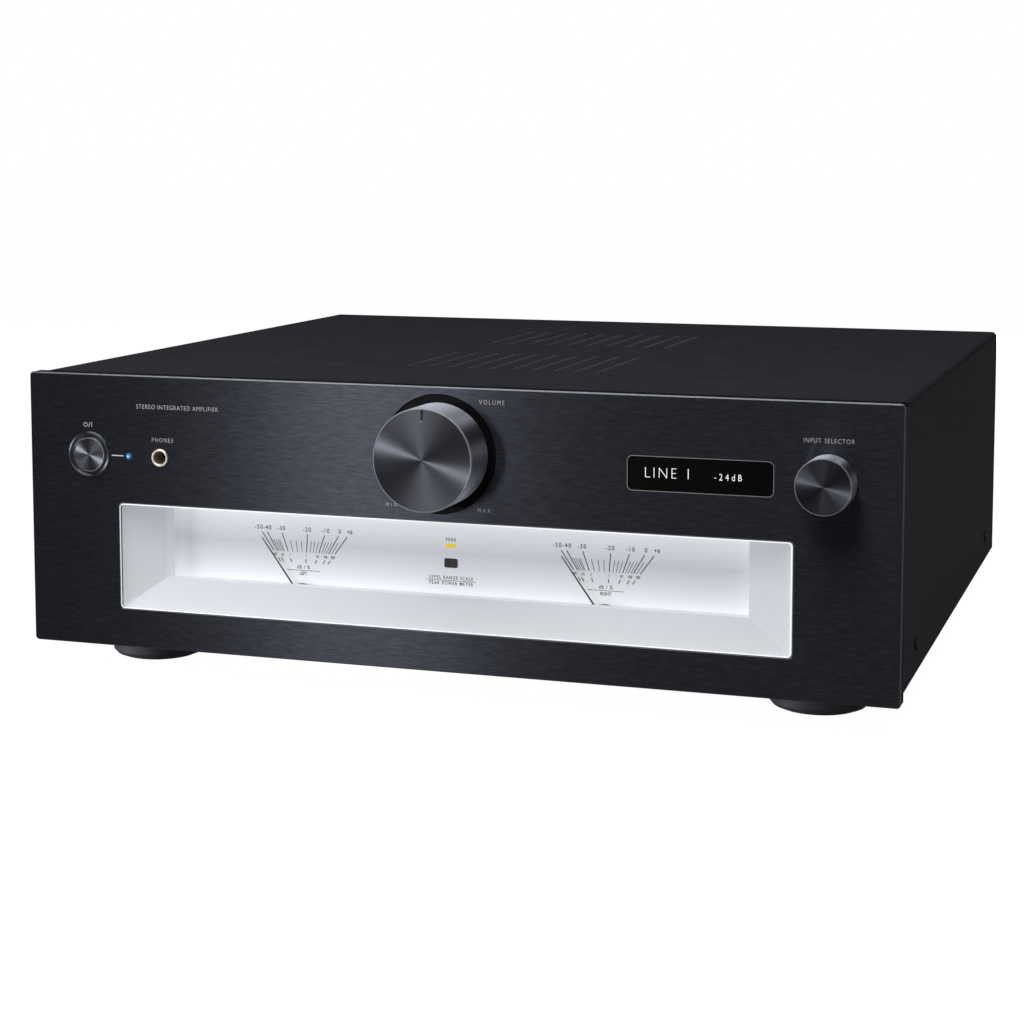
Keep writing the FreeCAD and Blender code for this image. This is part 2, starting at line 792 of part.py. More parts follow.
def feet():
    """Four turned feet, their soft pads and their screws."""
    ground = "-foot_drop"
    outer = "foot_radius"
    pads = []
    screws = []
    for name, (across, depth) in FEET.items():
        turned(f"{name}_foot", [
            (2.1, "cover_bottom"), (outer, "cover_bottom"), (outer, f"{ground} + 3.2"),
            (f"{outer} - 1.7", f"{ground} + 1.2"), ("foot_pad_radius", f"{ground} + 1.2"),
            ("foot_pad_radius", f"{ground} + 3"), (8, f"{ground} + 3"), (8, -2), (2.1, -2),
        ], (across, f"{FRONT} + {depth}", "foot_drop"), upright=True)
        disc = bar("foot_pad_radius - 0.1", (across, depth, ground), 2.9, "Z")
        pads.append(carved(disc, [bar(9, (across, depth, f"{ground} - 1"), 6, "Z")]))
        head = bar(4, (across, depth, -4.4), 2.4, "Z")
        shank = bar(2, (across, depth, -2), "cover_bottom + cover_wall + 4", "Z")
        screws.append(joined([head, shank]))
    node(group(pads), "foot_pads")
    node(group(screws), "foot_screws")


def cover_screws():
    """Low-headed screws that hold the cover's sides to the chassis flanges."""
    screws = []
    head = 0.8
    for depth in COVER_SCREW_DEPTHS:
        for side in (-1, 1):
            inner = f"{side} * (cover_width / 2 - 5)"
            face = f"{side} * cover_width / 2"
            outer = f"{side} * (cover_width / 2 + {head})"
            shank = bar(1.5, (min(inner, face, key=value), depth, "cover_screw_height"), 5, "X")
            cap = bar(3.2, (min(face, outer, key=value), depth, "cover_screw_height"), head, "X")
            screws.append(joined([shank, cap]))
    node(group(screws), "cover_screws")


# ---------------------------------------------------------------- inside


def board(label, low_x, high_x, near, far):
    """Flat circuit board on the chassis posts."""
    base = "board_height"
    plate = block((low_x, near, base), (high_x, far, f"{base} + board_thickness"))
    node(group([plate]), label)


def power_supply():
    """Toroidal mains transformer, its board and the reservoir capacitors."""
    board("power_supply_board", -204, -76, 64, 230)
    turned("mains_transformer", [
        (14, FLOOR_TOP), (48, FLOOR_TOP), (52, f"{FLOOR_TOP} + 5"), (52, f"{FLOOR_TOP} + 47"),
        (48, f"{FLOOR_TOP} + 52"), (14, f"{FLOOR_TOP} + 52"), (10, f"{FLOOR_TOP} + 47"),
        (10, f"{FLOOR_TOP} + 5"),
    ], (-138, f"{FRONT} + 288", "foot_drop"), upright=True)
    cans = []
    for across in (-178, -142, -106):
        for depth in (150, 190):
            cans.append(bar(15, (across, depth, "board_height + board_thickness"), 48, "Z"))
    node(group(cans), "reservoir_capacitors")
    wall = block((-68, 60, FLOOR_TOP), ("-68 + cover_wall", 360, 110))
    node(group([wall]), "shield_partition")


def heat_sink():
    """Extruded heat sink under the vents, with upright fins."""
    body = new_body("heat_sink")
    base = Outline(body, "XY_Plane", FLOOR_TOP).rectangle(-56, 88, -50, 304)
    raise_pad(body, base, FLOOR_TOP, 100)
    comb = Outline(body, "XY_Plane", FLOOR_TOP).rectangle(-51, 88, -10, 89.6)
    fin = raise_pad(body, comb, FLOOR_TOP, 100)
    fins = body.newObject("PartDesign::LinearPattern", "Fins")
    fins.Originals = [fin]
    fins.Direction = (comb.sketch, ["V_Axis"])
    fins.Length = 214.4
    fins.Occurrences = 25
    body.Tip = fins
    node(body, "heat_sink")


def amplifier_section():
    """Output transistors on the heat sink, and the amplifier board beside it."""
    chips = [block((-61, depth, 40), (-56, depth + 16, 62)) for depth in (110, 150, 226, 266)]
    node(group(chips), "output_transistors")
    board("amplifier_board", 0, 204, 64, 230)


def front_board():
    """Control board behind the encoders, display and switch, notched round the headphone jack."""
    near = "front_board_depth"
    far = "front_board_depth + board_thickness"
    plate = block((-205, near, 80), (205, far, 130))
    notch = block(("phones_across - 9", 20, 79), ("phones_across + 9", 30, "controls_height + 10"))
    node(carved(plate, [notch]), "front_board")


# ---------------------------------------------------------------- rear connectors


def rear_frame(across, height):
    """Place a turned piece on the rear panel's face, pointing backwards."""
    return (across, BACK, f"foot_drop + {height}")


def filling(opening, front, proud):
    """Block that fills a rear opening from front to a little outside the rear face."""
    left, bottom, right, top = REAR_OPENINGS[opening]
    gap = 0.2
    return block((left + gap, front, bottom + gap), (right - gap, f"case_depth + {proud}", top - gap))


def speaker_terminals():
    """Insulating base, four studs and, on each, a clamp washer and a screw cap."""
    collar = 4
    solids = [
        block((-124, "case_depth - 18", 26), (-16, REAR_INSIDE, 54)),
        filling("speakers", f"{REAR_INSIDE} - 1", 1),
    ]
    bores = []
    for across in SPEAKER_POSTS.values():
        solids.append(bar(6.1, (across, REAR_INSIDE, "terminal_height"), f"cover_wall + 0.1 + {collar}"))
        bores.append(bar("stud_radius + 0.05", (across, 350, "terminal_height"), 60))
    node(carved(joined(solids), bores), "speaker_terminal_base")
    studs = []
    for across in SPEAKER_POSTS.values():
        stud = bar("stud_radius", (across, "case_depth - 22", "terminal_height"), 42)
        hole = bar("banana_radius", (across, "case_depth + 2", "terminal_height"), 20)
        studs.append(carved(stud, [hole]))
    node(group(studs), "speaker_studs")
    inner = "(stud_radius + 0.1)"
    outer = "cap_radius"
    for name, across in SPEAKER_POSTS.items():
        at = rear_frame(across, "terminal_height")
        turned(f"{name}_washer", [(4.15, inner), (4.15, outer), (5.65, outer), (5.65, inner)], at)
        turned(f"{name}_cap", [
            (5.8, inner), (5.8, outer), (21.2, outer), ("terminal_reach", f"{outer} - 0.8"),
            ("terminal_reach", "banana_radius"), (20.6, "banana_radius"), (20.6, inner),
        ], at)


def mains_inlet():
    """Three-pin mains inlet in the rear panel."""
    front, rear = "case_depth - 20", "case_depth - cover_wall"
    shell = block((-195, front, 29), (-165, "case_depth + 2", 51))
    flange = block((-197.5, "case_depth", 26.5), (-162.5, "case_depth + 2", 53.5))
    cavity = block((-192.25, f"{front} + 3", 31.5), (-167.75, "case_depth + 3", 48.5))
    solids = [carved(joined([shell, flange]), [cavity])]
    for across, height in ((-187, 37.5), (-173, 37.5), (-180, 41.5)):
        low = (f"{across} - 1", f"{front} + 2", f"{height} - 2.5")
        high = (f"{across} + 1", rear, f"{height} + 2.5")
        solids.append(block(low, high))
    node(joined(solids), "mains_inlet")


def line_inputs():
    """Insulating block with eight line input jacks, each a plated shell standing out of it."""
    board_rear = "socket_board_depth + board_thickness"
    body = [
        block((51, board_rear, 61), (123, REAR_INSIDE, 99)),
        filling("line", f"{REAR_INSIDE} - 1", 0.6),
    ]
    shells = []
    bores = []
    for across in JACK_COLUMNS:
        for height in JACK_ROWS:
            bores.append(bar("jack_bore", (across, "case_depth - 6", height), 20))
            shell = bar("jack_radius", (across, "case_depth + 0.6", height), "jack_reach")
            shells.append(carved(shell, [bar("jack_bore", (across, "case_depth", height), 20)]))
    node(group([carved(joined(body), bores), *shells]), "line_input_jacks")


def digital_inputs():
    """Coaxial, optical and data sockets in one block."""
    board_rear = "socket_board_depth + board_thickness"
    solids = [
        block((128, board_rear, 79), (190, REAR_INSIDE, 99)),
        filling("digital", f"{REAR_INSIDE} - 1", 0.6),
    ]
    wells = []
    for low, high, deep in ((133.5, 146.5, 2.5), (151.5, 164.5, 2.5), (170.5, 185.5, 9)):
        mouth = "case_depth + socket_proud"
        solids.append(block((low, REAR_INSIDE, "socket_bottom"), (high, mouth, "socket_top")))
        middle = (low + high) / 2
        near = (middle - 4.3, f"{mouth} - {deep}", "socket_bottom + 2.5")
        far = (middle + 4.3, "case_depth + 3", "socket_top - 2.5")
        wells.append(block(near, far))
    node(carved(joined(solids), wells), "digital_inputs")


def signal_inputs():
    """Line and digital inputs on their board behind the rear panel."""
    low = (50, "socket_board_depth", 56)
    high = (195, "socket_board_depth + board_thickness", 102)
    node(group([block(low, high)]), "input_board")
    line_inputs()
    digital_inputs()


# ---------------------------------------------------------------- build, check and write


def check_document():
    """Stop if any object failed, or if a sub-part is empty, invalid or named twice."""
    broken = [item.Name for item in DOC.Objects if {"Invalid", "Error"} & set(item.State)]
    if broken:
        raise RuntimeError(f"failed objects: {broken}")
    for piece in NODES:
        if piece.Shape.isNull() or not piece.Shape.isValid() or not piece.Shape.Solids:
            raise RuntimeError(f"bad shape: {piece.Label}")
    if len({piece.Label for piece in NODES}) != len(NODES):
        raise RuntimeError("two sub-parts share a name")


def write_parts():
    """Write each sub-part's shape to a STEP file named after it."""
    os.makedirs("parts", exist_ok=True)
    for piece in NODES:
        piece.Shape.exportStep(f"parts/{piece.Label}.step")
    whole = Part.makeCompound([piece.Shape for piece in NODES]).BoundBox
    print(f"{len(NODES)} sub-parts, box {whole}")


def main():
    """Build the amplifier from its front to its back."""
    fill_sheet()
    front_panel()
    volume_recess_ring()
    display_window()
    display_module()
    power_controls()
    headphone_socket()
    volume_control()
    selector_control()
    meters()
    bottom_chassis()
    top_cover()
    rear_panel()
    feet()
    cover_screws()
    power_supply()
    heat_sink()
    amplifier_section()
    front_board()
    speaker_terminals()
    mains_inlet()
    signal_inputs()
    DOC.recompute()
    check_document()
    write_parts()


main()
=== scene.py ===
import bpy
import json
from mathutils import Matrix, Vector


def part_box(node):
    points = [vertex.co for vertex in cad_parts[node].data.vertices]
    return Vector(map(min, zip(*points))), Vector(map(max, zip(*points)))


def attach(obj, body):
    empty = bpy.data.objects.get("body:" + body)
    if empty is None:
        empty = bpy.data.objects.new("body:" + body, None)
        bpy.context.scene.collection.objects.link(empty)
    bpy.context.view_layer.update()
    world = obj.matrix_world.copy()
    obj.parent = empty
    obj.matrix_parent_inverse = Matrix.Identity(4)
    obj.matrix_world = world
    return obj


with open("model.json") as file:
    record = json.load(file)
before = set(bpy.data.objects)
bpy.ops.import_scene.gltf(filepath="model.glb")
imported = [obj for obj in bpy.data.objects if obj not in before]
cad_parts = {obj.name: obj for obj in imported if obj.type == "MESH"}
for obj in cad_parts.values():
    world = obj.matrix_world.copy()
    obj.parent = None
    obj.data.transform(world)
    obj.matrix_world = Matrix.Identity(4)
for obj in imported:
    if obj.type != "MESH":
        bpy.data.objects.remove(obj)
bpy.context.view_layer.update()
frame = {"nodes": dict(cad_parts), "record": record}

import json
import math

import bmesh
import bpy
from mathutils import Matrix, Vector

# Places on the front are given in millimetres in the panel's own frame: across from its centre,
# up from its bottom edge, and back from its front face. The rear uses the same heights.
MM = 0.001
PANEL_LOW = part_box("front_panel")[0]
REAR_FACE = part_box("rear_panel")[1].y
FRONT_WAY = Vector((0, -1, 0))
REAR_WAY = Vector((0, 1, 0))
UP = Vector((0, 0, 1))
SLOT_OF = {part["node"]: part["material_slot"] for part in frame["record"]["subparts"]}

# How far the dials' face lies behind the panel's front
DIAL_DEPTH = 16.4
# Thickness of printed marks
INK = 0.05
# Share of the font's size that its capitals take
CAPITAL_SHARE = 0.7
# Width of the thinnest printed lines
HAIRLINE = 0.24
# Edges that turn by more than this stay crisp
SHARP_ANGLE = math.radians(30)
# Every finish made, by its own name
finishes = {}


def on_panel(across, height, depth=0.0):
    """A point on or behind the front panel."""
    return Vector((across * MM, PANEL_LOW.y + depth * MM, PANEL_LOW.z + height * MM))


def on_rear(across, height, proud=0.0):
    """A point on or outside the rear panel."""
    return Vector((across * MM, REAR_FACE + proud * MM, PANEL_LOW.z + height * MM))


def front_centre(node):
    """Centre of the front face of a CAD node's box."""
    low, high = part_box(node)
    return Vector(((low.x + high.x) / 2, low.y, (low.z + high.z) / 2))


# ---------------------------------------------------------------- materials


class Finish:
    """One procedural material: a Principled shader and the nodes that feed it."""

    def __init__(self, slot, **constants):
        self.slot = slot
        self.material = bpy.data.materials.new(slot)
        self.material.use_nodes = True
        self.tree = self.material.node_tree
        self.shader = self.tree.nodes["Principled BSDF"]
        for name, amount in constants.items():
            self.shader.inputs[name.replace("_", " ")].default_value = amount
        finishes[slot] = self

    def add(self, kind, **settings):
        made = self.tree.nodes.new("ShaderNode" + kind)
        for name, amount in settings.items():
            setattr(made, name, amount)
        return made

    def feed(self, source, target):
        self.tree.links.new(source, target)

    def noise(self, stretch, detail=3.0, roughness=0.55):
        """Noise whose features repeat about stretch times a metre along each axis."""
        place = self.add("TexCoord").outputs["Object"]
        scaled = self.add("VectorMath", operation="MULTIPLY")
        scaled.inputs[1].default_value = stretch
        self.feed(place, scaled.inputs[0])
        texture = self.add("TexNoise")
        texture.inputs["Scale"].default_value = 1.0
        texture.inputs["Detail"].default_value = detail
        texture.inputs["Roughness"].default_value = roughness
        self.feed(scaled.outputs[0], texture.inputs["Vector"])
        return texture.outputs["Fac"]

    def along(self, axis, start, end):
        """How far a point is from start to end along one axis, from 0 to 1."""
        split = self.add("SeparateXYZ")
        self.feed(self.add("TexCoord").outputs["Object"], split.inputs[0])
        span = self.add("MapRange")
        span.inputs["From Min"].default_value = start
        span.inputs["From Max"].default_value = end
        self.feed(split.outputs[axis], span.inputs["Value"])
        return span.outputs["Result"]

    def stretch_range(self, source, low, high, narrow=0.3):
        """Source, from narrow to 1 - narrow, spread over low to high."""
        span = self.add("MapRange")
        span.inputs["From Min"].default_value = narrow
        span.inputs["From Max"].default_value = 1 - narrow
        span.inputs["To Min"].default_value = low
        span.inputs["To Max"].default_value = high
        self.feed(source, span.inputs["Value"])
        return span.outputs["Result"]

    def ramp(self, source, stops):
        """Colours along source; stops are (place, colour)."""
        made = self.add("ValToRGB")
        elements = made.color_ramp.elements
        while len(elements) < len(stops):
            elements.new(0.5)
        for element, (place, colour) in zip(elements, stops):
            element.position = place
            element.color = (*colour, 1)
        self.feed(source, made.inputs["Fac"])
        return made.outputs["Color"]

    def colour(self, source, dark, light, narrow=0.3):
        """Base colour from dark to light with source."""
        colours = self.ramp(source, [(narrow, dark), (1 - narrow, light)])
        self.feed(colours, self.shader.inputs["Base Color"])
        return self

    def gloss(self, source, low, high, narrow=0.3):
        """Roughness from low to high with source."""
        self.feed(self.stretch_range(source, low, high, narrow), self.shader.inputs["Roughness"])
        return self

    def relief(self, source, depth, strength=1.0):
        """Bump of that depth in millimetres."""
        bump = self.add("Bump")
        bump.inputs["Strength"].default_value = strength
        bump.inputs["Distance"].default_value = depth * MM
        self.feed(source, bump.inputs["Height"])
        self.feed(bump.outputs["Normal"], self.shader.inputs["Normal"])
        return self

    def facing_front(self):
        """How squarely a face looks forward or back: 1 on such a face, 0 on one at right angles."""
        split = self.add("SeparateXYZ")
        self.feed(self.add("TexCoord").outputs["Normal"], split.inputs[0])
        facing = self.add("Math", operation="ABSOLUTE")
        self.feed(split.outputs["Y"], facing.inputs[0])
        return facing.outputs[0]

    def stretch_highlights(self, way):
        """Highlights stretch along way, at right angles to the brushed grain."""
        tangent = self.add("CombineXYZ")
        for socket, amount in zip(tangent.inputs, way):
            socket.default_value = amount
        self.feed(tangent.outputs[0], self.shader.inputs["Tangent"])

    def grain_round(self):
        """Grain in circles about the piece's own front to back axis."""
        QUARTER_TURN = 0.25
        tangent = self.add("Tangent", direction_type="RADIAL", axis="Y")
        self.feed(tangent.outputs[0], self.shader.inputs["Tangent"])
        self.shader.inputs["Anisotropic Rotation"].default_value = QUARTER_TURN

    def glow(self, colour, strength):
        """Light of one colour from the whole surface."""
        self.shader.inputs["Emission Color"].default_value = (*colour, 1)
        self.shader.inputs["Emission Strength"].default_value = strength


def grey(level, tint=0.0):
    """A grey, slightly blue with a positive tint."""
    return (level, level * (1 + tint / 6), level * (1 + tint))


def plain(slot, dark, light, gloss, size, depth, **constants):
    """A moulded or painted finish: fine mottling in colour, gloss and relief of about size millimetres."""
    finish = Finish(slot, **constants)
    fine = finish.noise((1 / (size * MM),) * 3)
    broad = finish.noise((60, 60, 60), 4)
    finish.colour(broad, dark, light).gloss(fine, *gloss).relief(fine, depth)
    return finish


def brushed_panel():
    """Black brushed metal, with a bright cut where its faces slope."""
    NO_CUT, BRIGHT_CUT = (0, 0, 0), grey(0.1, 0.08)
    finish = Finish("brushed_black", Metallic=1.0, Anisotropic=0.96)
    streaks = finish.noise((150, 150, 2300), 4, 0.7)
    fine = finish.noise((300, 300, 6000), 2, 0.6)
    finish.colour(streaks, grey(0.03, 0.28), grey(0.08, 0.32), 0.25)
    finish.gloss(fine, 0.31, 0.38).relief(streaks, 0.004, 0.5)
    slopes = [(0.3, NO_CUT), (0.45, BRIGHT_CUT), (0.88, BRIGHT_CUT), (0.96, NO_CUT)]
    cut = finish.ramp(finish.facing_front(), slopes)
    both = finish.add("Mix", data_type="RGBA", blend_type="ADD")
    both.inputs["Factor"].default_value = 1
    first_colour, second_colour = both.inputs[6:8]
    surface = finish.shader.inputs["Base Color"]
    finish.feed(surface.links[0].from_socket, first_colour)
    finish.feed(cut, second_colour)
    finish.feed(both.outputs[2], surface)
    finish.shader.inputs["Specular Tint"].default_value = (0.5, 0.51, 0.56, 1)
    finish.stretch_highlights(UP)


def turned_metal(slot, face, side, gloss):
    """Spun metal, with one colour on the flat face and another on the side; a side much lighter than the
    face is a painted highlight.
    """
    MOTTLING = 0.08
    finish = Finish(slot, Metallic=1.0, Anisotropic=0.95)
    fine = finish.noise((60, 2500, 60), 3)
    facing = finish.facing_front()
    blend = finish.add("Math", operation="MULTIPLY_ADD")
    blend.inputs[1].default_value = MOTTLING
    finish.feed(fine, blend.inputs[0])
    finish.feed(facing, blend.inputs[2])
    # Colour runs from the side's to the face's by how squarely a face looks forward; a lighter side paints
    # a highlight
    finish.colour(blend.outputs[0], side, face).gloss(fine, *gloss)
    finish.grain_round()


def white_bezel():
    """White frame of the meter window, with a painted glow for the light from inside, painted shade making
    it dimmer towards its top, and a little more glow on its left.
    """
    bezel = Finish("white_bezel", Roughness=0.4)
    low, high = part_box("meter_bezel")
    height = bezel.along("Z", low.z, high.z)
    # Darker towards the top: painted shade, used for both colour and glow
    stops = [(0.0, (0.5, 0.51, 0.54)), (0.55, (0.46, 0.475, 0.51)), (1.0, (0.34, 0.35, 0.39))]
    shade = bezel.ramp(height, stops)
    fine = bezel.noise((2500, 2500, 2500))
    bezel.feed(shade, bezel.shader.inputs["Base Color"])
    bezel.feed(shade, bezel.shader.inputs["Emission Color"])
    bezel.gloss(fine, 0.32, 0.42).relief(fine, 0.004)
    # Painted glow, a little stronger on the left than on the right
    lit = bezel.stretch_range(bezel.along("X", low.x, high.x), 0.68, 0.6, 0)
    bezel.feed(lit, bezel.shader.inputs["Emission Strength"])


def lit_dial():
    """White dial card, brightest along its top and bottom edges, where its lamps are."""
    dial = Finish("lit_dial", Roughness=0.5)
    low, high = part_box("dial_plate")
    height = dial.along("Z", low.z, high.z)
    stops = [(0.0, (0.72, 0.725, 0.74)), (0.25, (0.64, 0.65, 0.675)), (0.64, (0.385, 0.395, 0.43)),
             (0.84, (0.5, 0.51, 0.54)), (1.0, (0.74, 0.745, 0.76))]
    soft = dial.ramp(height, stops)
    dial.feed(soft, dial.shader.inputs["Base Color"])
    dial.feed(soft, dial.shader.inputs["Emission Color"])
    dial.shader.inputs["Emission Strength"].default_value = 0.84
    fine = dial.noise((3000, 3000, 3000))
    dial.gloss(fine, 0.45, 0.55).relief(fine, 0.003)


def lit_pieces():
    """Lamps, lenses and characters that glow in their own colour, and the meter window's glowing rim,
    which is a painted highlight.
    """
    for slot, dark, light, strength in (
        ("yellow_lens", (0.8, 0.6, 0.01), (0.9, 0.7, 0.015), 0.35),
        ("blue_lens", (0.02, 0.1, 0.28), (0.04, 0.19, 0.46), 0.3),
        ("lamp_glint", (0.3, 0.6, 0.85), (0.4, 0.7, 0.9), 0.4),
        ("readout_white", (0.8, 0.8, 0.8), (0.9, 0.9, 0.9), 0.85),
    ):
        plain(slot, dark, light, (0.15, 0.25), 0.5, 0.002).glow(light, strength)
    # The glowing rim is no lamp: its glow is a painted highlight
    edge = plain("lit_edge", grey(0.8, 0.02), grey(0.86, 0.02), (0.3, 0.4), 0.4, 0.002)
    edge.glow((0.95, 0.97, 1), 0.5)


def black_finishes():
    """Painted steel, plastic and glass in black."""
    for slot, depth in (("satin_black", 0.01), ("black_screws", 0.004)):
        low, high = grey(0.026, 0.28), grey(0.033, 0.28)
        plain(slot, low, high, (0.42, 0.55), 0.25, depth, Specular_IOR_Level=0.15)
    # The recess ring is near black, darker than the other black plastic: partly its own black, partly
    # painted shade of the recess round the volume knob
    plain("recess_black", grey(0.003), grey(0.005), (0.6, 0.7), 0.3, 0.01, Specular_IOR_Level=0.1)
    plain("black_plastic", grey(0.018), grey(0.028), (0.42, 0.55), 0.35, 0.012)
    plain("black_cap", grey(0.012), grey(0.02), (0.22, 0.32), 0.5, 0.004)
    plain("display_black", grey(0.0012), grey(0.002), (0.2, 0.26), 2, 0.001, Specular_IOR_Level=0.12)
    plain("display_glass", grey(0.01), grey(0.02), (0.1, 0.16), 2, 0.001)
    plain("needle_black", grey(0.008), grey(0.014), (0.35, 0.45), 0.3, 0.004)
    plain("dark_lens", grey(0.004, 0.6), grey(0.008, 0.6), (0.12, 0.2), 2, 0.001, Specular_IOR_Level=0.1)
    plain("transistor_case", grey(0.015), grey(0.03), (0.4, 0.5), 0.3, 0.01)
    plain("foot_shell", grey(0.05, 0.25), grey(0.065, 0.25), (0.26, 0.36), 0.5, 0.004)
    plain("foot_rubber", grey(0.01), grey(0.016), (0.6, 0.75), 0.6, 0.02)


def metal_finishes():
    """Plated, turned and anodised metal."""
    # The knobs' side is painted far lighter than their face: a painted highlight on the turned side
    turned_metal("turned_aluminium", grey(0.085, 0.24), grey(0.6, 0.2), (0.36, 0.4))
    turned_metal("steel", grey(0.5), grey(0.62), (0.25, 0.35))
    plain("zinc_steel", grey(0.5), grey(0.62), (0.35, 0.5), 1.5, 0.005, Metallic=1.0)
    plain("bright_ring", (0.7, 0.64, 0.5), (0.8, 0.76, 0.62), (0.36, 0.46), 0.4, 0.002, Metallic=0.75)
    plain("gold_metal", (0.72, 0.5, 0.2), (0.83, 0.62, 0.3), (0.18, 0.28), 0.4, 0.002, Metallic=1.0)
    plain("heat_sink_metal", grey(0.03), grey(0.05), (0.35, 0.5), 0.4, 0.006, Metallic=1.0)
    plain("cut_edge", grey(0.3, 0.06), grey(0.36, 0.06), (0.42, 0.5), 0.4, 0.002, Metallic=0.6)
    plain("screen_wire", grey(0.06, 0.1), grey(0.08, 0.1), (0.4, 0.5), 0.4, 0.004)
    plain("jack_shell", grey(0.45), grey(0.55), (0.22, 0.3), 0.4, 0.002, Metallic=1.0)


def coloured_finishes():
    """Boards, wraps, coloured plastic and printing ink."""
    plain("red_cap", (0.33, 0.012, 0.012), (0.42, 0.02, 0.018), (0.22, 0.32), 0.5, 0.004)
    plain("circuit_board", (0.01, 0.08, 0.03), (0.02, 0.14, 0.05), (0.3, 0.45), 1.2, 0.02)
    plain("transformer_wrap", (0.1, 0.06, 0.01), (0.2, 0.12, 0.02), (0.3, 0.4), 2, 0.04)
    plain("can_sleeve", (0.01, 0.012, 0.03), (0.016, 0.02, 0.05), (0.25, 0.35), 1, 0.004)
    plain("jack_white", grey(0.5), grey(0.6), (0.35, 0.45), 0.5, 0.004)
    plain("jack_red", (0.4, 0.02, 0.02), (0.5, 0.03, 0.03), (0.35, 0.45), 0.5, 0.004)
    plain("print_white", grey(0.55), grey(0.68), (0.45, 0.6), 0.2, 0.003)
    plain("print_dark", grey(0.02), grey(0.04), (0.5, 0.6), 0.2, 0.003)
    pane = plain("clear_pane", grey(0.5), grey(0.55), (0.02, 0.04), 5, 0.0005)
    pane.shader.inputs["Alpha"].default_value = 0.06


def paint_nodes():
    """Every CAD node gets the finish of its slot."""
    for name, cad_node in frame["nodes"].items():
        cad_node.data.materials.clear()
        cad_node.data.materials.append(finishes[SLOT_OF[name]].material)


# ---------------------------------------------------------------- pieces


def frame_about(centre, way, up=UP):
    """Matrix of a local frame: Z along way, Y along up, at centre."""
    across = up.cross(way).normalized()
    turn = Matrix((across, way.cross(across), way)).transposed().to_4x4()
    return Matrix.Translation(centre) @ turn


def rounded(low, high, radius, steps=8):
    """Outline of a rectangle with round corners."""
    outline = []
    corners = ((high[0], high[1]), (low[0], high[1]), (low[0], low[1]), (high[0], low[1]))
    for quarter, (x, y) in enumerate(corners):
        centre_x = x - math.copysign(radius, x - (low[0] + high[0]) / 2)
        centre_y = y - math.copysign(radius, y - (low[1] + high[1]) / 2)
        for step in range(steps + 1):
            angle = (quarter + step / steps) * math.pi / 2
            outline.append((centre_x + radius * math.cos(angle), centre_y + radius * math.sin(angle)))
    return outline


